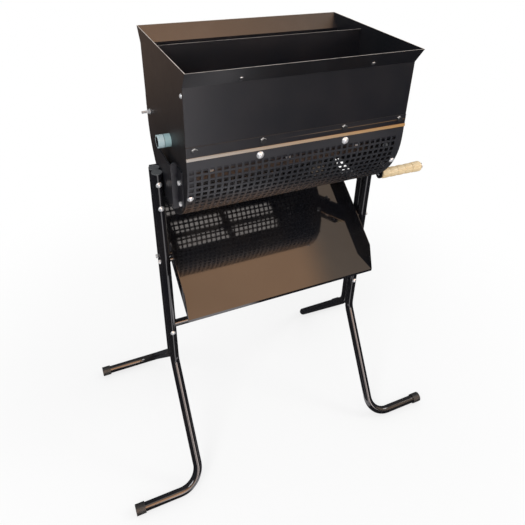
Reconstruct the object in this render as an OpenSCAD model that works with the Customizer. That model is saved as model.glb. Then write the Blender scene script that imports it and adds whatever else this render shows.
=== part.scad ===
// Rotary soil sieve: a steel hopper with a paddle shaft over a half-round
// perforated screen, a sloping chute below it, and a stand of bent tubes.
// X runs along the shaft, -Y is the front, Z is up and the floor is z = 0.

/* [Hopper] */
// Width over the two side plates
hopper_w = 528; // [440:2:640]
// Depth of the hopper from front wall to rear wall
hopper_d = 332; // [306:2:400]
// Height of the strip at the foot of the front wall above the floor
strip_z = 1028; // [900:2:1240]
// Height of the straight walls above the strip
wall_h = 147; // [110:1:190]
// Height of the flared rim above the walls
rim_h = 34; // [20:1:50]
// How far the rim flares out at front and rear
rim_out = 25; // [10:1:35]
// Height of the strip's front face
strip_h = 6; // [5:0.5:12]
// How far the strip stands out from the wall
strip_out = 3.5; // [2.5:0.5:6]
// Height of the strip's upright leg above its middle
strip_leg_h = 26; // [24:1:30]
// Thickness of the sheet steel
sheet_t = 1.5; // [1:0.1:2]
// Width of the flanges folded on the sheets
flange_w = 14; // [10:1:18]
// Distance of the divider behind the front wall
divider_y = 221; // [215:1:235]
// Height of the divider's lower edge above the strip
divider_low = 26; // [10:1:60]
// Drop of the divider's top edge below the rim
divider_drop = 13; // [5:1:30]

/* [Screen] */
// Distance of the screen's centre line below the strip
screen_drop = 30; // [28:1:50]
// Pitch of the holes, across the screen and round it
hole_pitch = 30; // [24:1:40]
// Width of a square hole
hole_w = 10; // [6:0.5:12]
// Least width of the plain margin beside the outermost holes
hole_margin = 19; // [16:1:40]

/* [Shaft] */
// Distance of the shaft behind the front wall
shaft_y = 121; // [116:1:124]
// Distance of the shaft below the strip
shaft_drop = 6.5; // [0:0.5:12]
// Diameter of the shaft
shaft_d = 18; // [14:0.1:22]
// Radial running clearance of the shaft in its bushes
run_gap = 0.06; // [0.03:0.01:0.09]
// Outer diameter of a bush
bush_d = 29; // [27:0.5:34]
// Length of a bush outside the side plate
bush_out = 28; // [25:1:36]
// Depth of the wider bore at the outer end of a bush
bush_mouth = 12; // [8:1:16]
// Wall of a bush where it passes through the side plate
bush_wall = 1.74; // [1.5:0.01:3]
// Radius of the paddles
paddle_r = 97; // [80:1:98]
// Width of a paddle blade along its radius
blade_w = 34; // [24:1:42]
// Thickness of a paddle blade
blade_t = 3; // [2:0.5:5]
// Gap between the blades and the side plates
blade_gap = 12; // [10:1:20]
// Distance of the two outer arms from the ends of the blades
arm_in = 60; // [30:1:90]
// Turn of the blades against the crank
paddle_turn = 35; // [0:1:90]

/* [Crank] */
// Distance from the shaft to the handle
crank_r = 195; // [150:1:210]
// Width of the crank bar
crank_w = 24; // [20:1:28]
// Thickness of the crank bar
crank_t = 5; // [4:0.5:7]
// Gap between the stand tubes and the crank bar
crank_gap = 2.5; // [2:0.5:20]
// Length of the wooden handle
grip_len = 133; // [100:1:140]
// Largest diameter of the wooden handle
grip_d = 30; // [26:1:34]
// Diameter of the handle's spindle
spindle_d = 10; // [8:0.5:12]

/* [Stand] */
// Diameter of the stand tubes
tube_d = 25; // [20:0.5:30]
// Wall of the stand tubes
tube_wall = 1.5; // [1:0.1:2.5]
// Gap between a side plate and the stand tubes
side_gap = 16.5; // [14:0.5:40]
// Gap between the two tubes of a side
pair_gap = 0.5; // [0.4:0.1:2]
// Distance of the tube pair in front of the drum's middle
pair_shift = 2.5; // [0:0.5:10]
// Drop of the tube tops below the strip
top_drop = 96; // [92:1:120]
// Drop of the knees, where the legs part, below the cross tube
knee_drop = 133; // [110:1:160]
// Distance between the front and the rear feet
feet_y = 529; // [460:1:600]
// Length of a foot outward from its leg
foot_len = 187; // [120:1:220]
// Radius of the bends at the knee
knee_r = 60; // [45:1:80]
// Radius of the bends at the feet
foot_r = 62; // [45:1:70]
// Wall of the plastic foot caps
cap_wall = 3; // [2.5:0.5:4.5]
// Length of the plastic foot caps
cap_len = 26; // [18:1:40]
// Depth of the flat tread under a foot cap
cap_flat = 0.6; // [0.3:0.1:1.5]
// Drop of the cross tube below the chute's lip
cross_drop = 103; // [60:1:120]
// Diameter of the cross tube
cross_d = 20; // [16:0.5:24]

/* [Chute] */
// Slope of the chute's floor
chute_slope = 36; // [30:1:38]
// Distance of the chute's lip behind the hopper's front wall
chute_lip_y = 40; // [20:1:60]
// Drop of the chute's lip below the lowest point of the drum
chute_drop = 266; // [250:1:300]
// Distance of the chute's rear edge in front of the hopper's rear wall
chute_rear_y = 4; // [0:1:40]
// Height of the chute's folded lip
chute_lip_h = 7; // [4:0.5:15]
// Height of the chute's sides, square to its floor
chute_side_h = 42; // [38:1:50]
// How far the front edges of the chute's sides slant back
chute_side_cut = 61; // [20:1:80]
// Gap between the chute and the stand tubes
chute_gap = 7.5; // [3:0.5:8]

/* [Brackets] */
// Height of the brackets that join hopper and stand
bracket_h = 104; // [100:1:110]
// Thickness of the brackets
bracket_t = 3; // [2.5:0.5:4]
// Distance of the bracket's web in front of the tube pair's middle
bracket_reach = 95; // [88:1:100]

/* [Fasteners] */
// Thread diameter of the screws
screw_d = 6; // [5:0.5:6]
// Clearance of the screws in their holes, on the diameter
screw_gap = 0.4; // [0.3:0.1:0.8]
// Diameter of the large dome heads
dome_d = 17; // [14:0.5:20]
// Diameter of the small dome heads
head_d = 14.5; // [11:0.5:15]
// Distance of the two large dome screws from the middle
dome_x = 104; // [80:1:140]

/* [Hidden] */
$fn = 64;
e = 0.02;
t = sheet_t;
half_w = hopper_w / 2;
inner_w = hopper_w - 2 * t;
drum_y = -42.5;
screen_r = hopper_d / 2;
front_y = drum_y - screen_r;
rear_y = drum_y + screen_r;
wall_top = strip_z + wall_h;
rim_top = wall_top + rim_h;
rim_lean = atan2(rim_out, rim_h);
screen_z = strip_z - screen_drop;
drum_low = screen_z - screen_r;
wall_low = screen_z + 0.2;
divider_at = front_y + divider_y;
strip_screw_xs = [-half_w + 18, -98, 98, half_w - 18];
strip_screw_z = strip_z + 17;
corner_screw_y = front_y + 7;
corner_screw_z = strip_z + 130;
rim_screw_x = 149;
rim_screw_up = 8;
stop_screw_y = rear_y - 32;
stop_screw_z = strip_z - 8;

hole_step = hole_pitch / (screen_r + t / 2) * 180 / PI;
hole_columns = 2 * floor((half_w - hole_margin) / hole_pitch) + 1;
hole_rows = 2 * floor(83 / hole_step) + 1;
dome_z = strip_z - 15;
side_screw_angles = [24, 90, 156];
side_screw_x = half_w - flange_w / 2 - 1;

axle_y = front_y + shaft_y;
axle_z = strip_z - shaft_drop;
bore_d = shaft_d + 2 * run_gap;
neck_d = bore_d + 2 * bush_wall;
neck_hole_d = neck_d + 0.4;
arm_t = 6;
arm_w = 20;
blade_len = inner_w - 2 * blade_gap;
blade_up = paddle_r - blade_w / 2;
arm_xs = [-blade_len / 2 + arm_in, 0, blade_len / 2 - arm_in];
journal_d = 12;

tube_x = half_w + side_gap + tube_d / 2;
post_x = tube_x - tube_d / 2;
tube_out_x = tube_x + tube_d / 2;
tube_step = (tube_d + pair_gap) / 2;
pair_at = drum_y - pair_shift;
front_tube_y = pair_at - tube_step;
rear_tube_y = pair_at + tube_step;
tail_y = rear_tube_y + tube_d / 2;
tube_top = strip_z - top_drop;
chute_lip_z = drum_low - chute_drop;
cross_z = chute_lip_z - cross_drop;
knee_z = cross_z - knee_drop;
cap_d = tube_d + 2 * cap_wall;
foot_z = tube_d / 2 + cap_wall - cap_flat;
front_reach = feet_y / 2 + front_tube_y;
rear_reach = feet_y / 2 - rear_tube_y;
bend_lap = 0.5;
bend_thin = 0.2;
crank_x = tube_out_x + crank_gap;

lip_y = front_y + chute_lip_y;
chute_half = post_x - chute_gap;
chute_len = (rear_y - chute_rear_y - lip_y) / cos(chute_slope);
chute_screw_z = chute_lip_z + (pair_at - lip_y) * tan(chute_slope)
    + chute_side_h / cos(chute_slope) / 2;

bracket_y = pair_at - bracket_reach;
bracket_top = tube_top + 52;
bracket_screw_zs = [bracket_top - 32, bracket_top - 84];
bracket_screw_y = bracket_y - 18;
through_zs = [tube_top - 26, tube_top - 90, cross_z - 23];

hole_d = screw_d + screw_gap;
nut_flats = screw_d + 4;

// Length of a vector
function size(v) = sqrt(v * v);

// Places its children on the X axis line through the point y, z
module along_x(x, y, z) {
    translate([x, y, z]) rotate([0, 90, 0]) children();
}

// Places its children along -Y, so that a head faces the front
module along_front(x, y, z) {
    translate([x, y, z]) rotate([90, 0, 0]) children();
}

// Extrudes an outline drawn in Y and Z along X, centred on the middle
module across(width) {
    rotate([90, 0, 90]) translate([0, 0, -width / 2]) linear_extrude(width) children();
}

// Screw with a low dome head; the shank runs down from z = 0
module dome_screw(d, length, head, head_h) {
    ball = (head * head / 4 + head_h * head_h) / (2 * head_h);
    translate([0, 0, -length]) cylinder(d = d, h = length + e);
    rotate_extrude() intersection() {
        translate([0, head_h - ball]) circle(r = ball);
        square([head, head_h]);
    }
}

// Screw with a six-sided head; the shank runs down from z = 0
module hex_screw(d, length, flats, head_h) {
    translate([0, 0, -length]) cylinder(d = d, h = length + e);
    cylinder(d = flats / cos(30), h = head_h, $fn = 6);
    translate([0, 0, head_h - e]) cylinder(d = flats * 0.85, h = 0.6);
}

// Six-sided nut with a washer face on z = 0, bored for a screw
module hex_nut(d, flats, nut_h) {
    difference() {
        union() {
            cylinder(d = flats * 1.35, h = 1.2);
            translate([0, 0, 1.2 - e]) cylinder(d = flats / cos(30), h = nut_h, $fn = 6);
        }
        translate([0, 0, -1]) cylinder(d = d + 0.1, h = nut_h + 4);
    }
}

// Outline of a side plate in Y and Z: flared rim, straight walls, half drum
module side_outline(r) {
    translate([drum_y, screen_z]) circle(r = r, $fn = 160);
    polygon([
        [drum_y - r, screen_z], [drum_y - r, wall_top],
        [drum_y - r - rim_out, rim_top], [drum_y + r + rim_out, rim_top],
        [drum_y + r, wall_top], [drum_y + r, screen_z]
    ]);
}

// Holes of one side plate, drawn in Y and Z
module side_holes() {
    translate([axle_y, axle_z]) circle(d = neck_hole_d);
    for (z = bracket_screw_zs) translate([bracket_screw_y, z]) circle(d = hole_d);
    translate([corner_screw_y, corner_screw_z]) circle(d = hole_d);
    translate([stop_screw_y, stop_screw_z]) circle(d = hole_d);
}

// Ring flange along the curved edge of a side plate, bored for the side screws
module drum_flange() {
    difference() {
        translate([0, drum_y, screen_z]) rotate([0, 90, 0]) rotate([0, 0, -90])
            rotate_extrude(angle = 180, $fn = 160)
                translate([screen_r - t, 0]) square([t, flange_w]);
        for (a = side_screw_angles)
            translate([0, drum_y, screen_z]) rotate([a, 0, 0])
                translate([half_w - side_screw_x, -screen_r, 0]) rotate([90, 0, 0])
                    cylinder(d = hole_d, h = 8, center = true);
    }
}

// Side plate for the left, outer face at -half_w
module side_plate() {
    difference() {
        translate([-half_w + t / 2, 0, 0]) across(t) side_outline(screen_r);
        translate([-half_w + t / 2, 0, 0]) across(t + 2) side_holes();
    }
    translate([-half_w, 0, 0]) drum_flange();
}

module left_side_plate() {
    color([0.10, 0.10, 0.11]) side_plate();
}

module right_side_plate() {
    color([0.10, 0.10, 0.11]) mirror([1, 0, 0]) side_plate();
}

// Flared sheet of the front wall, which ends where the drum begins to curve
module wall_sheet() {
    polygon([
        [0, wall_low], [t, wall_low], [t, wall_top - t * tan(rim_lean / 2)],
        [t / cos(rim_lean) - rim_out, rim_top], [-rim_out, rim_top], [0, wall_top]
    ]);
}

// Wall between the side plates, drawn at the front with its screw holes
module end_wall() {
    difference() {
        union() {
            translate([0, front_y, 0]) across(inner_w) wall_sheet();
            for (s = [-1, 1])
                translate([s * (inner_w / 2 - t / 2), front_y + flange_w / 2 + t / 2, 0])
                    translate([0, 0, (strip_z + wall_top) / 2])
                        cube([t, flange_w, wall_h - 12], center = true);
        }
        for (x = strip_screw_xs) along_front(x, front_y, strip_screw_z)
            cylinder(d = hole_d, h = 12, center = true);
        for (x = [-dome_x, dome_x]) along_front(x, front_y, dome_z)
            cylinder(d = hole_d, h = 12, center = true);
    }
}

// Places its children square to the outside of the flared rim at the front
module on_rim(x) {
    translate([x, front_y - rim_screw_up * tan(rim_lean), wall_top + rim_screw_up])
        rotate([90 + rim_lean, 0, 0]) children();
}

// Moves what is drawn at the front wall to the rear wall
module at_rear() {
    translate([0, front_y + rear_y, 0]) mirror([0, 1, 0]) children();
}

module front_wall() {
    color([0.09, 0.09, 0.10]) difference() {
        end_wall();
        for (s = [-1, 1]) along_x(s * inner_w / 2, corner_screw_y, corner_screw_z)
            cylinder(d = hole_d, h = 12, center = true);
        for (x = [-rim_screw_x, rim_screw_x]) on_rim(x)
            cylinder(d = hole_d, h = 12, center = true);
    }
}

module rear_wall() {
    color([0.12, 0.11, 0.10]) at_rear() end_wall();
}

// Upright partition between the loading side and the side for coarse matter
module divider() {
    divider_top = rim_top - divider_drop;
    color([0.10, 0.10, 0.10]) {
        translate([0, divider_at, (strip_z + divider_low + divider_top) / 2])
            cube([inner_w, t, divider_top - strip_z - divider_low], center = true);
        for (s = [-1, 1])
            translate([s * (inner_w / 2 - t / 2), divider_at + flange_w / 2 + t / 2,
                (strip_z + divider_low + divider_top) / 2])
                cube([t, flange_w, divider_top - strip_z - divider_low - 40], center = true);
    }
}

// Outline of the half drum with upright sides up to the strip
module drum_outline(r, top) {
    translate([drum_y, screen_z]) circle(r = r, $fn = 160);
    translate([drum_y - r, screen_z]) square([2 * r, top - screen_z]);
}

// Half-round perforated sheet with flat upper edges. The holes are drawn at
// every second place of the real sheet in both directions.
module screen() {
    screen_top = strip_z - strip_h / 2;
    color([0.11, 0.11, 0.13]) difference() {
        across(hopper_w) difference() {
            drum_outline(screen_r + t, screen_top);
            drum_outline(screen_r, screen_top + 2 * screen_r);
        }
        for (k = [0:hole_rows - 1])
            translate([0, drum_y, screen_z])
                rotate([(k - (hole_rows - 1) / 2) * hole_step, 0, 0])
                    translate([0, 0, -screen_r - t / 2])
                        for (c = [0:hole_columns - 1])
                            translate([(c - (hole_columns - 1) / 2) * hole_pitch, 0, 0])
                                cube([hole_w, hole_w, 8], center = true);
        for (a = side_screw_angles, s = [-1, 1])
            translate([0, drum_y, screen_z]) rotate([a, 0, 0])
                translate([s * side_screw_x, -screen_r, 0]) rotate([90, 0, 0])
                    cylinder(d = hole_d, h = 12, center = true);
        for (x = [-dome_x, dome_x], y = [front_y, rear_y]) along_front(x, y, dome_z)
            cylinder(d = hole_d, h = 12, center = true);
    }
}

// Angle strip that covers the joint of wall and screen, drawn at the front
module joint_strip() {
    difference() {
        translate([0, front_y, 0]) across(hopper_w) polygon([
            [0, strip_z - strip_h / 2], [0, strip_z + strip_leg_h],
            [-t, strip_z + strip_leg_h], [-t, strip_z + strip_h / 2],
            [-strip_out, strip_z + strip_h / 2], [-strip_out, strip_z - strip_h / 2]
        ]);
        for (x = strip_screw_xs) along_front(x, front_y, strip_screw_z)
            cylinder(d = hole_d, h = 12, center = true);
    }
}

module front_strip() {
    color([0.62, 0.50, 0.33]) joint_strip();
}

module rear_strip() {
    color([0.62, 0.50, 0.33]) at_rear() joint_strip();
}

// Plastic bush through the left side plate with its shoulder outside, bored
// wider at the outer end, where the shaft stops short
module bush() {
    difference() {
        union() {
            along_x(-half_w - bush_out, axle_y, axle_z) cylinder(d = bush_d, h = bush_out);
            along_x(-half_w - e, axle_y, axle_z) cylinder(d = neck_d, h = 14);
        }
        along_x(-half_w - bush_out - 1, axle_y, axle_z)
            cylinder(d = bore_d, h = bush_out + 20);
        along_x(-half_w - bush_out - 1, axle_y, axle_z)
            cylinder(d = bush_d - 5, h = bush_mouth + 1);
    }
}

// Ring nut that holds the bush from inside the side plate
module bush_nut() {
    along_x(-half_w + t + 0.1, axle_y, axle_z) difference() {
        cylinder(d = neck_d + 13, h = 6, $fn = 6);
        translate([0, 0, -1]) cylinder(d = neck_d + 0.2, h = 9);
    }
}

module left_bush() {
    color([0.68, 0.80, 0.82]) bush();
}

module right_bush() {
    color([0.68, 0.80, 0.82]) mirror([1, 0, 0]) bush();
}

module left_bush_nut() {
    color([0.60, 0.72, 0.74]) bush_nut();
}

module right_bush_nut() {
    color([0.60, 0.72, 0.74]) mirror([1, 0, 0]) bush_nut();
}

// Turns its children about the shaft by the paddles' angle and half turns
module on_shaft(turn) {
    translate([0, axle_y, axle_z]) rotate([turn - paddle_turn, 0, 0]) children();
}

// Round shaft with three welded hubs, each with two arms for the blades
module shaft() {
    left_end = -half_w - bush_out + bush_mouth;
    color([0.45, 0.45, 0.46]) {
        along_x(left_end, axle_y, axle_z) cylinder(d = shaft_d, h = crank_x - left_end);
        along_x(crank_x - e, axle_y, axle_z) cylinder(d = journal_d, h = crank_t + 14);
        for (x = arm_xs) {
            along_x(x - 14, axle_y, axle_z) cylinder(d = shaft_d + 10, h = 28);
            for (turn = [0, 180]) on_shaft(turn) difference() {
                translate([x, 0, (paddle_r - 12) / 2]) cube([arm_w, arm_t, paddle_r - 12], center = true);
                along_front(x, 0, blade_up) cylinder(d = hole_d, h = 20, center = true);
            }
        }
    }
}

// Flat blade along the shaft, above it and on the front face of the arms
module paddle() {
    difference() {
        translate([0, -(arm_t + blade_t) / 2, blade_up]) cube([blade_len, blade_t, blade_w], center = true);
        for (x = arm_xs) along_front(x, 0, blade_up) cylinder(d = hole_d, h = 40, center = true);
    }
}

module paddle_front() {
    color([0.50, 0.49, 0.47]) on_shaft(180) paddle();
}

module paddle_rear() {
    color([0.50, 0.49, 0.47]) on_shaft(0) paddle();
}

module paddle_screws() {
    color([0.75, 0.75, 0.76]) for (turn = [0, 180], x = arm_xs) on_shaft(turn) {
        along_front(x, -arm_t / 2 - blade_t, blade_up)
            hex_screw(screw_d, blade_t + arm_t + 7, nut_flats, 4);
        translate([x, arm_t / 2, blade_up]) rotate([-90, 0, 0]) hex_nut(screw_d, nut_flats, 4);
    }
}

// Collar between a bush and the next hub that keeps the shaft in place
module collar() {
    along_x(-half_w + t + 16, axle_y, axle_z) difference() {
        cylinder(d = shaft_d + 14, h = 12);
        translate([0, 0, -1]) cylinder(d = shaft_d + 0.04, h = 14);
    }
}

module left_collar() {
    color([0.70, 0.70, 0.71]) collar();
}

module right_collar() {
    color([0.70, 0.70, 0.71]) mirror([1, 0, 0]) collar();
}

// Flat crank bar with round ends, hanging down from the shaft
module crank() {
    color([0.08, 0.08, 0.09]) along_x(crank_x, axle_y, axle_z) difference() {
        union() {
            cylinder(d = crank_w + 6, h = crank_t);
            translate([0, -crank_w / 2, 0]) cube([crank_r, crank_w, crank_t]);
            translate([crank_r, 0, 0]) cylinder(d = crank_w, h = crank_t);
        }
        translate([0, 0, -1]) cylinder(d = journal_d + 0.1, h = crank_t + 2);
        translate([crank_r, 0, -1]) cylinder(d = spindle_d - 2 + 0.1, h = crank_t + 2);
    }
}

module crank_nut() {
    color([0.78, 0.78, 0.79]) along_x(crank_x + crank_t, axle_y, axle_z)
        hex_nut(journal_d, journal_d + 6, 7);
}

// Steel spindle of the handle, riveted flush into the crank bar
module handle_spindle() {
    color([0.75, 0.75, 0.76]) {
        along_x(crank_x + crank_t, axle_y, axle_z - crank_r)
            cylinder(d = spindle_d, h = grip_len + 5);
        along_x(crank_x, axle_y, axle_z - crank_r)
            cylinder(d = spindle_d - 2, h = crank_t + e);
        along_x(crank_x + crank_t + grip_len + 5 - e, axle_y, axle_z - crank_r)
            cylinder(d = spindle_d + 6, h = 3);
    }
}

// Turned wooden handle that spins on its spindle
module handle_grip() {
    r = grip_d / 2;
    color([0.87, 0.70, 0.46]) along_x(crank_x + crank_t + 3, axle_y, axle_z - crank_r)
        rotate_extrude() difference() {
            polygon([
                [0, 0], [r - 4, 0], [r - 1.5, 3], [r - 1, 12], [r - 3, 30], [r - 1, 48],
                [r - 3, 66], [r - 1, 84], [r - 2.5, grip_len - 31], [r, grip_len - 14],
                [r - 1.5, grip_len - 5], [r - 6, grip_len], [0, grip_len]
            ]);
            square([spindle_d + 2 * run_gap, 3 * grip_len], center = true);
        }
}

// Straight rod from one point to another, run past each end by more
module rod_run(a, b, d, more) {
    v = b - a;
    translate(a) rotate([0, acos(v[2] / size(v)), atan2(v[1], v[0])])
        translate([0, 0, -more]) cylinder(d = d, h = size(v) + 2 * more);
}

// Leg solid for the left front: upright, knee towards -Y, foot towards -X.
// Drawn in a frame with x = 0 on the tube and y = 0 on its upright. The bends
// are a hair thinner than the straight runs, which reach a little into them.
module leg_solid(reach, d) {
    drop = knee_z - foot_z;
    lean = atan2(reach, drop);
    knee_cut = knee_r * tan(lean / 2);
    knee = [0, 0, knee_z];
    ankle = [0, -reach, foot_z];
    down = [0, -sin(lean), -cos(lean)];
    p1 = knee + knee_cut * [0, 0, 1];
    p2 = knee + knee_cut * down;
    p3 = ankle - foot_r * down;
    p4 = ankle + foot_r * [-1, 0, 0];
    end = ankle + foot_len * [-1, 0, 0];
    rod_run(p1, [0, 0, tube_top - bend_lap], d, bend_lap);
    translate([0, -knee_r, p1[2]]) rotate([-90, 0, 90]) rotate_extrude(angle = lean)
        translate([knee_r, 0]) circle(d = d - bend_thin, $fn = 48);
    rod_run(p2, p3, d, bend_lap);
    translate(p3 - [foot_r, 0, 0]) rotate([-90 - lean, 0, 0]) rotate_extrude(angle = 90)
        translate([foot_r, 0]) circle(d = d - bend_thin, $fn = 48);
    rod_run(end + [bend_lap, 0, 0], p4, d, bend_lap);
}

// Hollow leg with its cross bores
module leg(reach) {
    difference() {
        leg_solid(reach, tube_d);
        leg_solid(reach, tube_d - 2 * tube_wall);
        for (z = through_zs)
            translate([0, 0, z]) rotate([90, 0, 0])
                cylinder(d = hole_d, h = tube_d + 4, center = true);
        translate([0, 0, chute_screw_z]) rotate([0, 90, 0])
            cylinder(d = hole_d, h = tube_d + 4, center = true);
    }
}

module left_front_leg() {
    color([0.07, 0.07, 0.08]) translate([-tube_x, front_tube_y, 0]) leg(front_reach);
}

module left_rear_leg() {
    color([0.07, 0.07, 0.08]) translate([-tube_x, rear_tube_y, 0]) mirror([0, 1, 0]) leg(rear_reach);
}

module right_front_leg() {
    color([0.07, 0.07, 0.08]) mirror([1, 0, 0]) left_front_leg();
}

module right_rear_leg() {
    color([0.07, 0.07, 0.08]) mirror([1, 0, 0]) left_rear_leg();
}

// Plastic cap pushed over the end of the left front foot
module foot_cap() {
    x = -tube_x - foot_len;
    color([0.13, 0.13, 0.13]) difference() {
        along_x(x - 3, -feet_y / 2, foot_z) cylinder(d = cap_d, h = cap_len);
        along_x(x, -feet_y / 2, foot_z) cylinder(d = tube_d + 0.04, h = cap_len);
        translate([x - cap_len, -feet_y / 2 - cap_d, -2 * cap_d]) cube([3 * cap_len, 2 * cap_d, 2 * cap_d]);
    }
}

module foot_cap_front_left() {
    foot_cap();
}

module foot_cap_rear_left() {
    mirror([0, 1, 0]) foot_cap();
}

module foot_cap_front_right() {
    mirror([1, 0, 0]) foot_cap();
}

module foot_cap_rear_right() {
    mirror([1, 0, 0]) mirror([0, 1, 0]) foot_cap();
}

// Grey plugs in the four tube tops
module tube_plugs() {
    color([0.35, 0.36, 0.38])
        for (x = [-tube_x, tube_x], y = [front_tube_y, rear_tube_y])
            translate([x, y, tube_top]) {
                cylinder(d = tube_d, h = 2);
                translate([0, 0, -12]) cylinder(d = tube_d - 2 * tube_wall - 0.1, h = 12 + e);
            }
}

// Cross tube between the front tubes, its ends shaped to their round
module cross_tube() {
    color([0.07, 0.07, 0.08]) difference() {
        along_x(-tube_x + 2, front_tube_y, cross_z) cylinder(d = cross_d, h = 2 * tube_x - 4);
        along_x(-tube_x, front_tube_y, cross_z) cylinder(d = cross_d - 3, h = 2 * tube_x);
        for (x = [-tube_x, tube_x])
            translate([x, front_tube_y, cross_z - 20]) cylinder(d = tube_d + 0.02, h = 40);
    }
}

// Chute: sloping floor, two sides, a raised rear edge and a lip folded straight down
module chute() {
    wide = 2 * chute_half;
    down = [-sin(chute_slope), -cos(chute_slope)];
    back = [t * cos(chute_slope), -t * sin(chute_slope)];
    color([0.22, 0.18, 0.15]) translate([0, lip_y, chute_lip_z]) rotate([chute_slope, 0, 0]) {
        translate([-chute_half, 0, -t]) cube([wide, chute_len, t]);
        across(wide) polygon([[0, 0], chute_lip_h * down, chute_lip_h * down + back, back]);
        translate([-chute_half, chute_len - t, -e]) cube([wide, t, 24]);
        for (s = [-1, 1]) translate([s * (chute_half - t / 2), 0, -t / 2]) across(t) polygon([
            [0, -t / 2], [0, t], [chute_side_cut, chute_side_h], [chute_len, chute_side_h],
            [chute_len, -t / 2]
        ]);
    }
}

// Pressed bracket between the left side plate and the tube pair
module bracket() {
    web_w = post_x - half_w;
    difference() {
        union() {
            intersection() {
                translate([-half_w - bracket_t, bracket_y - 34, bracket_top - bracket_h])
                    cube([bracket_t, 34 + bracket_t, bracket_h]);
                along_x(-half_w - 2 * bracket_t, drum_y, screen_z)
                    cylinder(r = screen_r - t, h = 4 * bracket_t, $fn = 160);
            }
            translate([-half_w - web_w, bracket_y, bracket_top - bracket_h])
                cube([web_w, bracket_t, bracket_h]);
            translate([-post_x, bracket_y, bracket_top - bracket_h])
                cube([bracket_t, tail_y - bracket_y + bracket_t, bracket_h]);
            translate([-tube_x - 8, tail_y, bracket_top - bracket_h - 50])
                cube([tube_x - post_x + 8 + bracket_t, bracket_t, bracket_h]);
            translate([-half_w - web_w / 2, bracket_y, bracket_top]) rotate([-90, 0, 0])
                cylinder(d = web_w, h = bracket_t);
        }
        for (z = bracket_screw_zs) along_x(-half_w - bracket_t / 2, bracket_screw_y, z)
            cylinder(d = hole_d, h = 12, center = true);
        for (z = [through_zs[0], through_zs[1]]) along_front(-tube_x, tail_y, z)
            cylinder(d = hole_d, h = 14, center = true);
    }
}

module left_bracket() {
    color([0.08, 0.08, 0.09]) bracket();
}

module right_bracket() {
    color([0.08, 0.08, 0.09]) mirror([1, 0, 0]) bracket();
}

// Long screws through both tubes of each side: two at the bracket, one below
module stand_screws() {
    color([0.80, 0.80, 0.81])
        for (x = [-tube_x, tube_x], z = through_zs)
            along_front(x, front_tube_y - tube_d / 2, z)
                dome_screw(screw_d, 2 * tube_step + tube_d + bracket_t + 9, head_d, 4.5);
}

module stand_nuts() {
    color([0.80, 0.80, 0.81])
        for (x = [-tube_x, tube_x], z = through_zs)
            translate([x, tail_y + (z > cross_z ? bracket_t : 0), z]) rotate([-90, 0, 0])
                hex_nut(screw_d, nut_flats, 5);
}

// Screws and nuts of the brackets on the side plates
module bracket_screws() {
    color([0.80, 0.80, 0.81])
        for (s = [0, 1], z = bracket_screw_zs) mirror([s, 0, 0]) {
            along_x(-half_w - bracket_t, bracket_screw_y, z) rotate([180, 0, 0])
                hex_screw(screw_d, bracket_t + t + 8, nut_flats, 4);
            along_x(-half_w + t, bracket_screw_y, z) hex_nut(screw_d, nut_flats, 4);
        }
}

// Screws through the tubes into the bosses on the chute's sides
module chute_screws() {
    color([0.80, 0.80, 0.81])
        for (s = [0, 1], y = [front_tube_y, rear_tube_y]) mirror([s, 0, 0])
            along_x(-tube_x - tube_d / 2, y, chute_screw_z) rotate([180, 0, 0])
                hex_screw(screw_d, tube_d + chute_gap - 0.5, nut_flats, 4);
}

// Threaded bosses welded outside on the chute's sides, so that it is smooth inside
module chute_bosses() {
    color([0.80, 0.80, 0.81])
        for (s = [0, 1], y = [front_tube_y, rear_tube_y]) mirror([s, 0, 0])
            along_x(-post_x, y, chute_screw_z) difference() {
                cylinder(d = 2 * screw_d, h = chute_gap);
                translate([0, 0, -1]) cylinder(d = screw_d + 0.1, h = chute_gap + 0.7);
            }
}

// Large dome screws at the screen's upper edges, front and rear
module screen_dome_screws() {
    color([0.86, 0.86, 0.87]) for (x = [-dome_x, dome_x]) {
        along_front(x, front_y - t, dome_z) dome_screw(screw_d, 2 * t + 8, dome_d, 5);
        at_rear() along_front(x, front_y - t, dome_z) dome_screw(screw_d, 2 * t + 8, dome_d, 5);
    }
}

// Dome screws that hold the screen's ends on the flanges of the side plates
module screen_side_screws() {
    color([0.86, 0.86, 0.87]) for (a = side_screw_angles, s = [-1, 1])
        translate([0, drum_y, screen_z]) rotate([a, 0, 0])
            translate([s * side_screw_x, -screen_r - t, 0]) rotate([90, 0, 0])
                dome_screw(screw_d, 2 * t + 5, head_d, 4);
}

// Small hex screws of one strip, a corner of each head upwards
module strip_screw_row() {
    for (x = strip_screw_xs) along_front(x, front_y - t, strip_screw_z) rotate([0, 0, 30])
        hex_screw(screw_d, 2 * t + 6, nut_flats + 2, 3.5);
}

module strip_screws() {
    color([0.80, 0.80, 0.81]) {
        strip_screw_row();
        at_rear() strip_screw_row();
    }
}

// Small dome screws with nuts in the front wall's flared rim
module rim_screws() {
    color([0.30, 0.30, 0.31]) for (x = [-rim_screw_x, rim_screw_x]) on_rim(x) {
        dome_screw(screw_d, t + 8, 10, 3);
        translate([0, 0, -t]) rotate([180, 0, 0]) hex_nut(screw_d, nut_flats, 4);
    }
}

// Screws through the side plates into the flanges of the front wall
module hopper_corner_screws() {
    color([0.80, 0.80, 0.81]) for (s = [0, 1]) mirror([s, 0, 0])
        along_x(-half_w, corner_screw_y, corner_screw_z) rotate([180, 0, 0])
            dome_screw(screw_d, 2 * t + 6, 10, 3.5);
}

// Long screws near the rear edge of the side plates, left standing out as stops
module rear_stop_screws() {
    color([0.80, 0.80, 0.81]) for (s = [0, 1]) mirror([s, 0, 0]) {
        along_x(-half_w - 20, stop_screw_y, stop_screw_z) cylinder(d = screw_d, h = t + 24);
        along_x(-half_w, stop_screw_y, stop_screw_z) rotate([180, 0, 0]) hex_nut(screw_d, nut_flats, 4);
        along_x(-half_w + t, stop_screw_y, stop_screw_z) hex_nut(screw_d, nut_flats, 4);
    }
}

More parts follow.
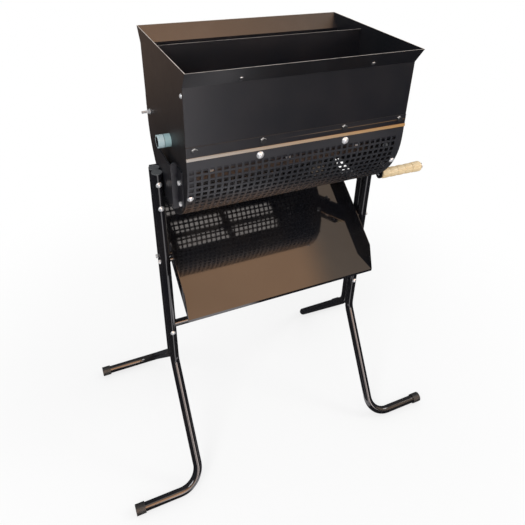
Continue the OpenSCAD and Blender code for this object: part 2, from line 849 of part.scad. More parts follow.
left_side_plate();
right_side_plate();
front_wall();
rear_wall();
divider();
screen();
front_strip();
rear_strip();
left_bush();
right_bush();
left_bush_nut();
right_bush_nut();
shaft();
paddle_front();
paddle_rear();
paddle_screws();
left_collar();
right_collar();
crank();
crank_nut();
handle_spindle();
handle_grip();
left_front_leg();
left_rear_leg();
right_front_leg();
right_rear_leg();
foot_cap_front_left();
foot_cap_rear_left();
foot_cap_front_right();
foot_cap_rear_right();
tube_plugs();
cross_tube();
chute();
left_bracket();
right_bracket();
stand_screws();
stand_nuts();
bracket_screws();
chute_screws();
chute_bosses();
screen_dome_screws();
screen_side_screws();
strip_screws();
hopper_corner_screws();
rim_screws();
rear_stop_screws();
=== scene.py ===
# Rotary soil sieve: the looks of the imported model, in metres, put together in the
# order of the real one. X runs along the shaft, -Y is the front and Z is up.
from math import cos, pi, radians, sin

import bmesh
import bpy
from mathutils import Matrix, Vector


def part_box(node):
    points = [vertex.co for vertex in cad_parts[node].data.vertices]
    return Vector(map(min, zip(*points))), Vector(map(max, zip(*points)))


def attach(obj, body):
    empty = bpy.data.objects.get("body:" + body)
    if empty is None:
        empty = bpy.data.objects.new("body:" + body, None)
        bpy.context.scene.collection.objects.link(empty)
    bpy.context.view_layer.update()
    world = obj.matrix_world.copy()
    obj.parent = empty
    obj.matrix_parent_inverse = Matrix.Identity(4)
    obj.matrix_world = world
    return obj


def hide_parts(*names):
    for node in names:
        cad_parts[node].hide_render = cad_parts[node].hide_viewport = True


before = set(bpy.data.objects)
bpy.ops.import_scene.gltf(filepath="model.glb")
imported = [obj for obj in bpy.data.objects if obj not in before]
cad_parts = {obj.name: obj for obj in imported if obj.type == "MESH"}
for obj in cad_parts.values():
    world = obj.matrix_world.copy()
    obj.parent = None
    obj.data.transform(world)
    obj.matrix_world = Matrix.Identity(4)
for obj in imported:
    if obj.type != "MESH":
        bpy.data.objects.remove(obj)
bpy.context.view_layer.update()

# Camera, at the height of a person's eyes in front of the left corner.
# Its place and its axes were worked out from the rim, the strip and the feet.
IMAGE_WIDTH = 525
SENSOR_WIDTH = 36
FOCAL_PIXELS = 527.15
CENTRE_PIXEL = (273.69, 213.03)
CAMERA_PLACE = (-0.5128, -1.1249, 1.5030)
CAMERA_TURN = (57.695, -1.858, -24.767)
camera_data = bpy.data.cameras.new("camera")
camera_data.sensor_width = SENSOR_WIDTH
camera_data.lens = FOCAL_PIXELS / IMAGE_WIDTH * SENSOR_WIDTH
camera_data.shift_x = (IMAGE_WIDTH / 2 - CENTRE_PIXEL[0]) / IMAGE_WIDTH
camera_data.shift_y = (CENTRE_PIXEL[1] - IMAGE_WIDTH / 2) / IMAGE_WIDTH
camera_data.clip_start = 0.05
camera = bpy.data.objects.new("camera", camera_data)
camera.location = CAMERA_PLACE
camera.rotation_euler = [radians(a) for a in CAMERA_TURN]
bpy.context.scene.collection.objects.link(camera)
bpy.context.scene.camera = camera
bpy.context.scene.view_settings.view_transform = "Standard"


class Value:
    """A node's output; Python's operators on it add Math nodes to its tree."""

    def __init__(self, tree, socket):
        self.tree = tree
        self.socket = socket

    def math(self, operation, first, second=0.0):
        return Graph(self.tree).node(
            "ShaderNodeMath", {"operation": operation}, {0: first, 1: second})

    def __add__(self, other):
        return self.math("ADD", self, other)

    def __radd__(self, other):
        return self.math("ADD", other, self)

    def __sub__(self, other):
        return self.math("SUBTRACT", self, other)

    def __rsub__(self, other):
        return self.math("SUBTRACT", other, self)

    def __mul__(self, other):
        return self.math("MULTIPLY", self, other)

    def __rmul__(self, other):
        return self.math("MULTIPLY", other, self)

    def __truediv__(self, other):
        return self.math("DIVIDE", self, other)

    def __mod__(self, other):
        return self.math("FLOORED_MODULO", self, other)

    def __gt__(self, other):
        return self.math("GREATER_THAN", self, other)

    def __lt__(self, other):
        return self.math("LESS_THAN", self, other)

    def floor(self):
        return self.math("FLOOR", self)

    def size(self):
        return self.math("ABSOLUTE", self)

    def least(self, other):
        return self.math("MINIMUM", self, other)

    def most(self, other):
        return self.math("MAXIMUM", self, other)

    def ramp(self, low, high):
        """Goes smoothly from 0 at low to 1 at high."""
        return Graph(self.tree).node(
            "ShaderNodeMapRange", {"interpolation_type": "SMOOTHSTEP"},
            {"Value": self, "From Min": low, "From Max": high})

    def output(self, name):
        return Value(self.tree, self.socket.node.outputs[name])


class Graph:
    """A node tree that nodes are added to."""

    def __init__(self, tree):
        self.tree = tree

    def node(self, kind, settings=None, inputs=None, output=0):
        made = self.tree.nodes.new(kind)
        for name, setting in (settings or {}).items():
            setattr(made, name, setting)
        for name, given in (inputs or {}).items():
            if isinstance(given, Value):
                self.tree.links.new(given.socket, made.inputs[name])
            else:
                made.inputs[name].default_value = given
        return Value(self.tree, made.outputs[output]) if made.outputs else made

    def mix(self, factor, first, second):
        """Colour between first at factor 0 and second at factor 1."""
        colours = [c if isinstance(c, Value) else (*c, 1.0) for c in (first, second)]
        return self.node(
            "ShaderNodeMix", {"data_type": "RGBA"},
            {0: factor, 6: colours[0], 7: colours[1]}, output=2)

    def noise(self, vector, scale, detail=3.0, roughness=0.5):
        return self.node(
            "ShaderNodeTexNoise", {},
            {"Vector": vector, "Scale": scale, "Detail": detail, "Roughness": roughness})

    def place(self):
        """Object coordinates as a vector, and their three parts."""
        vector = self.node("ShaderNodeTexCoord", output="Object")
        parts = self.node("ShaderNodeSeparateXYZ", {}, {0: vector})
        return vector, parts.output("X"), parts.output("Y"), parts.output("Z")

    def stretched(self, vector, scale):
        """The vector drawn out or squeezed along each axis."""
        return self.node("ShaderNodeMapping", {}, {"Vector": vector, "Scale": scale})

    def bump(self, height, strength, distance):
        return self.node(
            "ShaderNodeBump", {}, {"Height": height, "Strength": strength, "Distance": distance})


def new_material(name):
    material = bpy.data.materials.new(name)
    material.use_nodes = True
    material.node_tree.nodes.clear()
    return material, Graph(material.node_tree)


def show(graph, shader):
    graph.node("ShaderNodeOutputMaterial", {}, {"Surface": shader})


# Studio: a white floor and a white room for the camera, and two soft lamps. Gloss sees
# a yard instead: warm and white light above, a dim sky behind, two bright gaps low in
# front, dark ground with two pale stripes, and brown soil far behind the left side.
FLOOR_HALF = 14.0
FLOOR_COLOUR = (0.90, 0.90, 0.90, 1)
GROUND_SEEN_IN_GLOSS = (0.030, 0.030, 0.034)
SOIL_SEEN_IN_GLOSS = (0.44, 0.30, 0.22)
STRIPE_SEEN_IN_GLOSS = (1.5, 1.45, 1.5)
WINDOW_SEEN_IN_GLOSS = (6.5, 5.6, 5.3)
LIGHT_SEEN_IN_GLOSS = (2.7, 1.6, 0.92)
SHADE_SEEN_IN_GLOSS = (1.15, 0.88, 0.66)
SKY_SEEN_IN_GLOSS = (0.12, 0.12, 0.13)
LOW_LIGHT_SEEN_IN_GLOSS = (7.2, 4.1, 2.3)
ZENITH_SEEN_IN_GLOSS = (2.1, 1.95, 1.85)
ROOM_LIGHT = 0.75
# Each stripe starts at the foot of a tube pair and runs in a direction, in degrees.
STRIPES = (((-0.293, -0.045), -85.5), ((0.293, -0.045), -111.2))
STRIPE_HALF_ANGLE = 13
# Where the floor turns pure white, in metres from its middle, and how white it is before.
WHITE_FROM_TO = (0.5, 1.6)
WHITE_NEAR = 0.7
SOIL_FROM_TO = (1.9, 3.8)
SOIL_SIDE = (-0.3, 0.4)
floor_mesh = bpy.data.meshes.new("floor")
floor_mesh.from_pydata(
    [(x * FLOOR_HALF, y * FLOOR_HALF, 0) for x, y in ((-1, -1), (1, -1), (1, 1), (-1, 1))],
    [], [(0, 1, 2, 3)])
floor = bpy.data.objects.new("floor", floor_mesh)
bpy.context.scene.collection.objects.link(floor)
floor_finish, graph = new_material("pale_floor")
rays = graph.node("ShaderNodeLightPath")
vector, x, y, z = graph.place()
far = graph.node("ShaderNodeVectorMath", {"operation": "LENGTH"}, {0: vector}, output=1)
lit = graph.node("ShaderNodeBsdfDiffuse", {}, {"Color": FLOOR_COLOUR})
white = graph.node("ShaderNodeEmission", {}, {"Color": (1, 1, 1, 1), "Strength": 1.0})
ground = graph.mix(
    y.ramp(*SOIL_FROM_TO) * (1 - x.ramp(*SOIL_SIDE)),
    GROUND_SEEN_IN_GLOSS, SOIL_SEEN_IN_GLOSS)
for (foot_x, foot_y), angle in STRIPES:
    ahead = (x - foot_x) * cos(radians(angle)) + (y - foot_y) * sin(radians(angle))
    aside = (x - foot_x) * sin(radians(angle)) - (y - foot_y) * cos(radians(angle))
    off_line = aside.size() / ahead.most(0.01)
    width = sin(radians(STRIPE_HALF_ANGLE))
    stripe = (1 - off_line.ramp(width * 0.6, width)) * ahead.ramp(0.05, 0.15)
    ground = graph.mix(stripe, ground, STRIPE_SEEN_IN_GLOSS)
dim = graph.node("ShaderNodeEmission", {}, {"Color": ground, "Strength": 1.0})
whiteness = far.ramp(*WHITE_FROM_TO) * (1 - WHITE_NEAR) + WHITE_NEAR
seen = graph.node("ShaderNodeMixShader", {}, {
    0: rays.output("Is Camera Ray") * whiteness, 1: lit, 2: white})
show(graph, graph.node(
    "ShaderNodeMixShader", {}, {0: rays.output("Is Glossy Ray"), 1: seen, 2: dim}))
floor.data.materials.append(floor_finish)

# Edges of the lights in the yard, as parts of a direction of length 1.
WARM_LOW_EDGE = (0.20, 0.38)
WARM_REAR_EDGE = (-0.22, 0.05)
WARM_LEFT_EDGE = (-0.35, 0.15)
LOW_LIGHT_EDGE = (-0.75, -0.55)
ZENITH_EDGE = (-0.335, -0.315)
SHADE_EDGE = (0.39, 0.45)
GAP_FOOT = (-0.02, 0.04)
GAP_HEAD = (0.30, 0.36)
RIGHT_GAP = ((0.04, 0.08), (0.34, 0.42))
LEFT_GAP = ((-0.42, -0.34), (-0.14, -0.08))
LEFT_GAP_SHARE = 0.6
SKY_EDGE = (-0.05, 0.30)
SKY_FOOT_SEEN_IN_GLOSS = (0.06, 0.06, 0.065)
world = bpy.data.worlds.new("room")
bpy.context.scene.world = world
world.use_nodes = True
world.node_tree.nodes.clear()
graph = Graph(world.node_tree)
rays = graph.node("ShaderNodeLightPath")
spread = graph.node("ShaderNodeTexCoord", output="Generated")
way = graph.node("ShaderNodeSeparateXYZ", {}, {0: spread})
way_x, way_y, way_z = (way.output(axis) for axis in "XYZ")
warm = way_z.ramp(*WARM_LOW_EDGE) * (1 - way_y.ramp(*WARM_REAR_EDGE))
warm = warm * way_x.ramp(*WARM_LEFT_EDGE)
cloud = graph.noise(spread, 2.2, 2).ramp(0.25, 0.75)
window = way_z.ramp(*GAP_FOOT) * (1 - way_z.ramp(*GAP_HEAD)) * (way_y < 0)
right_gap, left_gap = (
    way_x.ramp(*near_edge) * (1 - way_x.ramp(*far_edge))
    for near_edge, far_edge in (RIGHT_GAP, LEFT_GAP))
window = window * (right_gap + left_gap * LEFT_GAP_SHARE)
sky = graph.mix(way_z.ramp(*SKY_EDGE), SKY_FOOT_SEEN_IN_GLOSS, SKY_SEEN_IN_GLOSS)
light = graph.mix(way_y.ramp(*LOW_LIGHT_EDGE), LOW_LIGHT_SEEN_IN_GLOSS, LIGHT_SEEN_IN_GLOSS)
light = graph.mix(way_y.ramp(*ZENITH_EDGE), light, ZENITH_SEEN_IN_GLOSS)
light = graph.mix(way_x.ramp(*SHADE_EDGE), light, SHADE_SEEN_IN_GLOSS)
sky = graph.mix(warm * (cloud * 0.35 + 0.65), sky, light)
sky = graph.mix(window, sky, WINDOW_SEEN_IN_GLOSS)
room = graph.mix(rays.output("Is Glossy Ray"), (ROOM_LIGHT,) * 3, sky)
room = graph.mix(rays.output("Is Camera Ray"), room, (1.0, 1.0, 1.0))
graph.node("ShaderNodeOutputWorld", {}, {
    "Surface": graph.node("ShaderNodeBackground", {}, {"Color": room, "Strength": 1.0})})


def soft_lamp(name, place, aim, size, watts):
    data = bpy.data.lights.new(name, "AREA")
    data.shape = "SQUARE"
    data.size = size
    data.energy = watts
    lamp = bpy.data.objects.new(name, data)
    lamp.location = place
    lamp.rotation_euler = (Vector(aim) - Vector(place)).to_track_quat("-Z", "Y").to_euler()
    bpy.context.scene.collection.objects.link(lamp)


soft_lamp("lamp_left", (-1.9, -1.7, 2.6), (0, 0, 0.8), 1.2, 34)
soft_lamp("lamp_right", (2.2, -0.9, 2.2), (0, 0, 0.9), 0.8, 14)


# Enamel: the stand, the hopper and the chute are steel with baked black enamel.
# It is glossy, a little rippled, and has fine dust where it faces up.
def enamel(name, colour, second, roughness=0.16, coat=0.5, dust=0.10, ripple=0.10,
           coat_roughness=0.04):
    material, graph = new_material(name)
    vector, x, y, z = graph.place()
    cloud = graph.noise(vector, 7, 4).ramp(0.35, 0.70)
    speck = graph.noise(vector, 160, 6, 0.75).ramp(0.60, 0.78)
    patch = graph.noise(vector, 14, 3).ramp(0.42, 0.72)
    facing = graph.node("ShaderNodeNewGeometry", output="Normal")
    up = graph.node("ShaderNodeSeparateXYZ", {}, {0: facing}).output("Z").ramp(0.1, 0.9)
    dusty = (speck * 0.6 + patch * 0.25) * (up * 0.8 + 0.2) * dust
    base = graph.mix(cloud, colour, second)
    base = graph.mix(dusty, base, (0.34, 0.29, 0.24))
    rough = dusty * 1.2 + graph.noise(vector, 45, 4) * 0.07 + (roughness - 0.035)
    peel = graph.noise(vector, 90, 2) * 0.8 + graph.noise(vector, 320, 2) * 0.2
    shader = graph.node("ShaderNodeBsdfPrincipled", {}, {
        "Base Color": base, "Roughness": rough, "Coat Weight": coat,
        "Coat Roughness": coat_roughness,
        "Normal": graph.bump(peel, ripple, 0.0006)})
    show(graph, shader)
    return material, graph, shader


def paint(material, *nodes):
    for name in nodes:
        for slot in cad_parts[name].material_slots:
            slot.material = material


# Stand: four legs of 25 mm tube, bent cold at the knee and the foot, bolted
# together in pairs, and a cross tube welded between the two front ones.
stand_enamel, _, _ = enamel(
    "stand_enamel", (0.006, 0.006, 0.008), (0.010, 0.009, 0.010),
    roughness=0.12, coat=0.6, dust=0.06)
paint(stand_enamel, "left_front_leg", "left_rear_leg", "right_front_leg", "right_rear_leg",
      "cross_tube")

# Foot caps: moulded black rubber, pushed over the ends of the feet.
rubber, graph = new_material("cap_rubber")
vector, x, y, z = graph.place()
grain = graph.noise(vector, 900, 3)
scuff = graph.noise(vector, 70, 5).ramp(0.5, 0.75)
show(graph, graph.node("ShaderNodeBsdfPrincipled", {}, {
    "Base Color": graph.mix(scuff * 0.5, (0.022, 0.022, 0.022), (0.075, 0.072, 0.068)),
    "Roughness": scuff * 0.15 + 0.5, "Normal": graph.bump(grain, 0.25, 0.0004)}))
paint(rubber, "foot_cap_front_left", "foot_cap_rear_left", "foot_cap_front_right",
      "foot_cap_rear_right")

# Tube plugs: grey moulded plastic, pressed into the four tube tops.
plug_plastic, graph = new_material("plug_plastic")
vector, x, y, z = graph.place()
grain = graph.noise(vector, 600, 3)
cloud = graph.noise(vector, 60, 4)
show(graph, graph.node("ShaderNodeBsdfPrincipled", {}, {
    "Base Color": graph.mix(cloud, (0.06, 0.065, 0.07), (0.12, 0.125, 0.13)),
    "Roughness": cloud * 0.1 + 0.4, "Normal": graph.bump(grain, 0.15, 0.0003)}))
paint(plug_plastic, "tube_plugs")

# Chute: one folded sheet with a sloping floor, enamelled like the rest and
# polished by the soil that slides down it, so that it mirrors the drum above.
chute_enamel, _, _ = enamel(
    "chute_enamel", (0.007, 0.007, 0.009), (0.012, 0.010, 0.010),
    roughness=0.07, coat=1.0, dust=0.03, ripple=0.05)
paint(chute_enamel, "chute")

# Brackets: pressed steel that carries the hopper on the two tube pairs. Their
# enamel is duller than the tubes'.
bracket_enamel, _, _ = enamel(
    "bracket_enamel", (0.004, 0.005, 0.009), (0.008, 0.008, 0.012),
    roughness=0.42, coat=0.3, dust=0.08, coat_roughness=0.32)
paint(bracket_enamel, "left_bracket", "right_bracket")

# Hopper: two side plates, two flared walls and the divider, in enamelled sheet,
# duller than the stand, the side plates most of all. The top edges carry a painted
# highlight: a pale line where light catches them.
def paint_edge_highlight(graph, shader, base, colour, *levels):
    """Paints a highlight: faces that look up within 1 mm of the given heights turn to a pale
    line, where light catches the edge.
    """
    facing = graph.node("ShaderNodeNewGeometry", output="Normal")
    up = graph.node("ShaderNodeSeparateXYZ", {}, {0: facing}).output("Z")
    vector, x, y, z = graph.place()
    near = sum(((z - level).size() < 0.001) for level in levels)
    highlight_patchiness = graph.noise(vector, 40, 4).ramp(0.30, 0.50)
    edge_highlight = (near * (up > 0.9)).least(1.0) * (highlight_patchiness * 0.6 + 0.4)
    graph.tree.links.new(
        graph.mix(edge_highlight, base, colour).socket, shader.socket.node.inputs["Base Color"])


rim_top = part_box("front_wall")[1].z
divider_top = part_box("divider")[1].z
ENAMELLED_SHEETS = (
    ("wall_enamel", 0.36, 0.7, 0.26, ("front_wall", "rear_wall", "divider")),
    ("plate_enamel", 0.5, 0.12, 0.45, ("left_side_plate", "right_side_plate")))
for name, roughness, coat, coat_roughness, sheets in ENAMELLED_SHEETS:
    finish, graph, shader = enamel(
        name, (0.004, 0.005, 0.008), (0.007, 0.007, 0.010),
        roughness=roughness, coat=coat, coat_roughness=coat_roughness)
    base = Value(graph.tree, shader.socket.node.inputs["Base Color"].links[0].from_socket)
    # Painted highlight: a pale line along the up-facing top edges of the rims and the divider.
    paint_edge_highlight(graph, shader, base, (0.74, 0.66, 0.60), rim_top, divider_top)
    paint(finish, *sheets)

# Screen: half-round perforated sheet with 34 columns and 36 rows of square holes,
# rolled to the drum and bolted to the side plates' flanges.
SHEET = 0.0015
HOLE_COLUMNS = 34
HOLE_ROWS = 36
HOLE_PITCH = 0.015
HOLE_WIDTH = 0.010
ROW_ANGLE = radians(5.154)
PATTERN_SHIFT = -0.0075
screen_low, screen_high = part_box("screen")
screen_width = screen_high.x - screen_low.x
drum_radius = (screen_high.y - screen_low.y) / 2
drum_y = (screen_high.y + screen_low.y) / 2
drum_z = screen_low.z + drum_radius


def node_tool(name, inputs):
    """An empty geometry tree with named inputs, its graph, and the inputs' values."""
    tree = bpy.data.node_groups.new(name, "GeometryNodeTree")
    kinds = {float: "NodeSocketFloat", int: "NodeSocketInt"}
    for label, given in inputs.items():
        kind = kinds.get(type(given), "NodeSocketMaterial")
        tree.interface.new_socket(label, in_out="INPUT", socket_type=kind)
    tree.interface.new_socket("Geometry", in_out="OUTPUT", socket_type="NodeSocketGeometry")
    graph = Graph(tree)
    entry = tree.nodes.new("NodeGroupInput")
    values = {label: Value(tree, entry.outputs[label]) for label in inputs}
    return tree, graph, values


def finish_tool(graph, geometry, material):
    """Ends a geometry tree in plain mesh with its material."""
    solid = graph.node("GeometryNodeRealizeInstances", {}, {0: geometry})
    coloured = graph.node(
        "GeometryNodeSetMaterial", {}, {"Geometry": solid, "Material": material})
    graph.node("NodeGroupOutput", {}, {0: coloured})


def made_by(tree, name, inputs, sharp_angle=35):
    """Runs a geometry tree with its inputs and keeps the result as a plain mesh."""
    carrier = bpy.data.objects.new(name + "_tool", bpy.data.meshes.new(name + "_tool"))
    bpy.context.scene.collection.objects.link(carrier)
    modifier = carrier.modifiers.new("tool", "NODES")
    modifier.node_group = tree
    for item in tree.interface.items_tree:
        if item.in_out == "INPUT":
            modifier[item.identifier] = inputs[item.name]
    graph_state = bpy.context.evaluated_depsgraph_get()
    mesh = bpy.data.meshes.new_from_object(carrier.evaluated_get(graph_state))
    bpy.data.objects.remove(carrier)
    mesh.name = name
    mesh.set_sharp_from_angle(angle=radians(sharp_angle))
    piece = bpy.data.objects.new(name, mesh)
    bpy.context.scene.collection.objects.link(piece)
    return piece


def finished(piece, *modifiers):
    """Applies modifiers, each a type and its settings, and removes them."""
    for kind, settings in modifiers:
        modifier = piece.modifiers.new(kind.lower(), kind)
        for name, setting in settings.items():
            setattr(modifier, name, setting)
    graph_state = bpy.context.evaluated_depsgraph_get()
    mesh = bpy.data.meshes.new_from_object(piece.evaluated_get(graph_state))
    piece.modifiers.clear()
    piece.data = mesh
    return piece


screen_paint, _, _ = enamel(
    "screen_enamel", (0.018, 0.019, 0.024), (0.026, 0.027, 0.032),
    roughness=0.42, coat=0.2, dust=0.10, ripple=0.08, coat_roughness=0.30)
screen_inputs = {
    "Width": screen_width, "Shift": PATTERN_SHIFT, "Radius": drum_radius,
    "Upright": screen_high.z - drum_z,
    "Middle Y": drum_y, "Middle Z": drum_z, "Columns": HOLE_COLUMNS, "Rows": HOLE_ROWS,
    "Pitch": HOLE_PITCH, "Row Angle": ROW_ANGLE, "Hole": HOLE_WIDTH, "Material": screen_paint,
}
tree, graph, given = node_tool("perforated_drum", screen_inputs)
lines_x = given["Columns"] * 2 + 2
lines_s = given["Rows"] * 2 + 2
sheet = graph.node("GeometryNodeMeshGrid", {}, {
    "Size X": lines_x - 1, "Size Y": lines_s - 1, "Vertices X": lines_x, "Vertices Y": lines_s})
spot = graph.node("GeometryNodeInputPosition")
spot = graph.node("ShaderNodeSeparateXYZ", {}, {0: spot})
line_x = spot.output("X") + (lines_x - 1) / 2
line_s = spot.output("Y") + (lines_s - 1) / 2
in_column = (line_x.floor() % 2) > 0.5
in_row = (line_s.floor() % 2) > 0.5
punched = graph.node("GeometryNodeDeleteGeometry", {"domain": "FACE"}, {
    "Geometry": sheet, "Selection": in_column * in_row})


def hole_line(graph, line, count, pitch, hole, whole):
    """Where a grid line lies: the two edges of each hole, and the sheet's own edges."""
    number = (line + 0.01).floor() - 1
    inner = ((number / 2).floor() - (count - 1) / 2) * pitch + (number % 2 - 0.5) * hole
    at_low = line < 0.5
    at_high = line > count * 2 + 0.5
    return inner * (1 - at_low) * (1 - at_high) + (at_high - at_low) * whole / 2


quarter = given["Radius"] * (pi / 2)
round_x = hole_line(
    graph, line_x, given["Columns"], given["Pitch"], given["Hole"], given["Width"])
inside = (line_x > 0.5) * (line_x < given["Columns"] * 2 + 0.5)
round_x = round_x + given["Shift"] * inside
round_s = hole_line(
    graph, line_s, given["Rows"], given["Row Angle"] * given["Radius"], given["Hole"],
    (quarter + given["Upright"]) * 2)
turn = (round_s / given["Radius"]).most(-pi / 2).least(pi / 2)
above = (round_s.size() - quarter).most(0.0)
drum_spot = graph.node("ShaderNodeCombineXYZ", {}, {
    "X": round_x,
    "Y": turn.math("SINE", turn) * given["Radius"] + given["Middle Y"],
    "Z": given["Middle Z"] - turn.math("COSINE", turn) * given["Radius"] + above})
rolled = graph.node("GeometryNodeSetPosition", {}, {"Geometry": punched, "Position": drum_spot})
rolled = graph.node("GeometryNodeFlipFaces", {}, {"Mesh": rolled})
finish_tool(graph, rolled, given["Material"])
screen = made_by(tree, "perforated_screen", screen_inputs)
screen = finished(screen, ("SOLIDIFY", {"thickness": SHEET, "offset": -1.0}))
screen.data.set_sharp_from_angle(angle=radians(35))
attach(screen, "stand")
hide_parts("screen")

# Strips: angle strips that cover the joint of wall and screen. Their ledge is
# rubbed bare to a tan lacquer, greyer at the left end, and their leg is enamelled,
# with a painted highlight line across its right half.
strip_finish, graph, shader = enamel(
    "strip_finish", (0.007, 0.008, 0.012), (0.012, 0.012, 0.015),
    roughness=0.36, coat=0.4, coat_roughness=0.26)
strip_low, strip_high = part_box("front_strip")
LEDGE_HEIGHT = 0.0062
HIGHLIGHT_LINE_HEIGHT = 0.0178
vector, x, y, z = graph.place()
along = (x - strip_low.x) / (strip_high.x - strip_low.x)
streak = graph.noise(graph.stretched(vector, (14, 200, 200)), 1.0, 4)
tan = graph.mix(
    along + (streak - 0.5) * 0.3, (0.46, 0.42, 0.38), (0.60, 0.34, 0.13))
ledge_and_highlight_line = 1 - (z - strip_low.z).ramp(LEDGE_HEIGHT, LEDGE_HEIGHT + 0.0006)
# Painted highlight: a thin tan line on the leg, 17.8 mm above the strip's foot, on its right
# half, where light catches an edge.
highlight_line = 1 - (z - (strip_low.z + HIGHLIGHT_LINE_HEIGHT)).size().ramp(0.0004, 0.0009)
ledge_and_highlight_line = ledge_and_highlight_line.most(highlight_line * along.ramp(0.35, 0.6) * 0.35)
lacquer = graph.node("ShaderNodeBsdfPrincipled", {}, {
    "Base Color": tan, "Roughness": streak * 0.2 + 0.28, "Metallic": 0.35})
for old in [n for n in graph.tree.nodes if n.type == "OUTPUT_MATERIAL"]:
    graph.tree.nodes.remove(old)
show(graph, graph.node("ShaderNodeMixShader", {}, {0: ledge_and_highlight_line, 1: shader, 2: lacquer}))
paint(strip_finish, "front_strip", "rear_strip")

# Bushes: pale blue plastic in two parts, screwed together through the side plate.
bush_plastic, graph = new_material("bush_plastic")
bush_low, bush_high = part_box("left_bush")
vector, x, y, z = graph.place()
BUSH_OUTSIDE = 0.028
BORE_RADIUS = 0.0125
axle_y = (bush_low.y + bush_high.y) / 2
axle_z = (bush_low.z + bush_high.z) / 2
seam_x = bush_low.x + BUSH_OUTSIDE / 2
past_seam = x.size() + seam_x
outer = past_seam.ramp(-0.0004, 0.0004)
seam = 1 - past_seam.size().ramp(0.0005, 0.0012)
cloud = graph.noise(vector, 55, 4)
colour = graph.mix(outer, (0.30, 0.47, 0.49), (0.48, 0.62, 0.65))
colour = graph.mix(cloud * 0.25, colour, (0.58, 0.66, 0.66))
colour = graph.mix(seam * 0.7, colour, (0.05, 0.09, 0.10))
# Painted shade: the bore, within 12.5 mm of the axle, is coloured near black, as the shade
# inside it.
square = (y - axle_y) * (y - axle_y) + (z - axle_z) * (z - axle_z)
colour = graph.mix(square < BORE_RADIUS ** 2, colour, (0.015, 0.017, 0.018))
show(graph, graph.node("ShaderNodeBsdfPrincipled", {}, {
    "Base Color": colour, "Roughness": cloud * 0.15 + 0.32,
    "Normal": graph.bump(graph.noise(vector, 500, 2), 0.08, 0.0003)}))
paint(bush_plastic, "left_bush", "right_bush", "left_bush_nut", "right_bush_nut")

# Shaft: round bar with welded hubs and arms, and two flat blades bolted on.
# The steel is browned, with mill marks and a film of rust.
shaft_steel, graph = new_material("shaft_steel")
vector, x, y, z = graph.place()
mill = graph.noise(graph.stretched(vector, (30, 300, 300)), 1.0, 4)
rust = graph.noise(vector, 26, 6, 0.65).ramp(0.50, 0.72)
colour = graph.mix(mill, (0.045, 0.045, 0.05), (0.10, 0.10, 0.105))
show(graph, graph.node("ShaderNodeBsdfPrincipled", {}, {
    "Base Color": graph.mix(rust * 0.6, colour, (0.075, 0.035, 0.018)),
    "Metallic": 1 - rust * 0.7, "Roughness": rust * 0.35 + mill * 0.1 + 0.35,
    "Normal": graph.bump(mill, 0.12, 0.0003)}))
paint(shaft_steel, "shaft", "paddle_front", "paddle_rear")

# Zinc: every screw, nut and collar is plated steel.
zinc, graph = new_material("zinc")
vector, x, y, z = graph.place()
bloom = graph.noise(vector, 240, 5)
show(graph, graph.node("ShaderNodeBsdfPrincipled", {}, {
    "Base Color": graph.mix(bloom, (0.62, 0.63, 0.65), (0.84, 0.85, 0.86)),
    "Metallic": 0.55, "Roughness": bloom * 0.18 + 0.26,
    "Normal": graph.bump(bloom, 0.06, 0.0002)}))
paint(zinc, "paddle_screws", "left_collar", "right_collar", "crank_nut", "handle_spindle",
      "stand_screws", "stand_nuts", "bracket_screws", "chute_screws", "screen_dome_screws",
      "screen_side_screws", "hopper_corner_screws", "rear_stop_screws")

# Blackened screws: those of the strips and the rims were enamelled with the sheet, with a
# painted near-white highlight on the sides that look up. The chute's bosses are black as well.
paint(stand_enamel, "chute_bosses")
screw_painted_highlight, graph = new_material("screw_painted_highlight")
vector, x, y, z = graph.place()
facing = graph.node("ShaderNodeNewGeometry", output="Normal")
up = graph.node("ShaderNodeSeparateXYZ", {}, {0: facing}).output("Z").ramp(0.0, 0.4)
highlight_patchiness = graph.noise(vector, 300, 4).ramp(0.30, 0.55)
# Painted highlight: the up-facing sides of the heads turn near white.
screw_highlight = up * (highlight_patchiness * 0.3 + 0.7)
show(graph, graph.node("ShaderNodeBsdfPrincipled", {}, {
    "Base Color": graph.mix(screw_highlight, (0.02, 0.02, 0.022), (0.95, 0.93, 0.90)),
    "Metallic": screw_highlight * 0.15, "Roughness": 0.36 - screw_highlight * 0.04}))
paint(screw_painted_highlight, "strip_screws", "rim_screws")

# Crank: flat black bar on the shaft's right end.
paint(stand_enamel, "crank")

# Grip: turned beech with four finger rings and a knob, sanded and lightly oiled,
# spinning on the spindle. Its outline is turned round the spindle as a smooth mesh.
RING_COUNT = 4
RING_PITCH = 0.025
RING_DEPTH = 0.0018
KNOB_RISE = 0.0010
INNER_ROUNDING = 0.003
OUTER_ROUNDING = 0.008
BORE_SHARE = 0.36
TURN_STEPS = 64
PROFILE_STEPS = 150
beech, graph = new_material("beech")
vector, x, y, z = graph.place()
grip_low, grip_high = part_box("handle_grip")
grip_middle = (grip_low + grip_high) / 2
grip_long = grip_high.x - grip_low.x
grip_radius = (grip_high.z - grip_low.z) / 2
fibre = graph.noise(graph.stretched(vector, (16, 260, 260)), 1.0, 5, 0.6)
flame = graph.noise(graph.stretched(vector, (7, 60, 60)), 1.0, 3)
fleck = graph.noise(graph.stretched(vector, (120, 900, 900)), 1.0, 2).ramp(0.62, 0.74)
place_in_ring = ((x - grip_low.x) / RING_PITCH + 0.5) % 1.0
# Darker in the finger grooves, most at each groove's middle, patchy with the wood's figure.
groove_darkening = 1 - (place_in_ring - 0.5).size().ramp(0.0, 0.12)
groove_darkening = groove_darkening * ((x - grip_low.x) < RING_PITCH * 4.5) * (flame * 0.5 + 0.5)
colour = graph.mix(flame.ramp(0.3, 0.7), (0.80, 0.60, 0.34), (0.93, 0.74, 0.46))
colour = graph.mix(fibre.ramp(0.35, 0.75) * 0.35, colour, (0.62, 0.40, 0.19))
colour = graph.mix(fleck * 0.45, colour, (0.44, 0.25, 0.11))
colour = graph.mix(groove_darkening * 0.16, colour, (0.30, 0.18, 0.09))
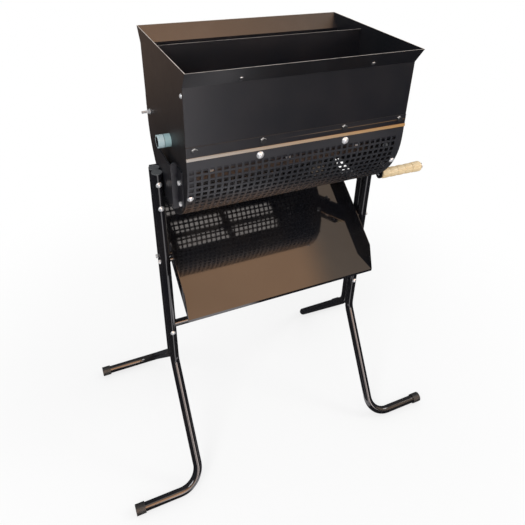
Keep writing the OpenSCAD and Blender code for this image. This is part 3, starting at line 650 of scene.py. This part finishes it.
show(graph, graph.node("ShaderNodeBsdfPrincipled", {}, {
    "Base Color": colour, "Roughness": fibre * 0.15 + 0.42, "Coat Weight": 0.08,
    "Normal": graph.bump(fibre, 0.12, 0.0004)}))


def grip_outline(along):
    """Radius of the grip at a distance from its inner end."""
    knob_start = RING_PITCH * RING_COUNT
    ring = abs(sin(pi * along / RING_PITCH)) ** 0.5 if along < knob_start else 1.0
    knob = max(0.0, (along - knob_start) / (grip_long - knob_start))
    body = grip_radius - KNOB_RISE - RING_DEPTH * (1 - ring)
    body += KNOB_RISE * sin(pi * min(1.0, knob) * 0.5)
    edge = min(along, grip_long - along)
    rounding = INNER_ROUNDING if along < grip_long / 2 else OUTER_ROUNDING
    if edge < rounding:
        body -= rounding * (1 - (1 - (1 - edge / rounding) ** 2) ** 0.5)
    return body


bore_radius = grip_radius * BORE_SHARE
spots = [(0.0, bore_radius)]
for step in range(PROFILE_STEPS + 1):
    at = grip_long * (0.5 - 0.5 * cos(pi * step / PROFILE_STEPS))
    spots.append((at, max(grip_outline(at), bore_radius + 0.001)))
spots.append((grip_long, bore_radius))
points = []
faces = []
for turn_step in range(TURN_STEPS):
    around = 2 * pi * turn_step / TURN_STEPS
    for at, radius in spots:
        points.append((grip_low.x + at, grip_middle.y + radius * cos(around),
                       grip_middle.z + radius * sin(around)))
for turn_step in range(TURN_STEPS):
    here = turn_step * len(spots)
    beyond = (turn_step + 1) % TURN_STEPS * len(spots)
    for k in range(len(spots)):
        k_next = (k + 1) % len(spots)
        faces.append((here + k, here + k_next, beyond + k_next, beyond + k))
grip_mesh = bpy.data.meshes.new("turned_grip")
grip_mesh.from_pydata(points, [], faces)
shape = bmesh.new()
shape.from_mesh(grip_mesh)
bmesh.ops.recalc_face_normals(shape, faces=shape.faces)
shape.to_mesh(grip_mesh)
shape.free()
grip_mesh.materials.append(beech)
for face in grip_mesh.polygons:
    face.use_smooth = True
grip_mesh.set_sharp_from_angle(angle=radians(50))
turned_grip = bpy.data.objects.new("turned_grip", grip_mesh)
bpy.context.scene.collection.objects.link(turned_grip)
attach(turned_grip, "grip")
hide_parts("handle_grip")
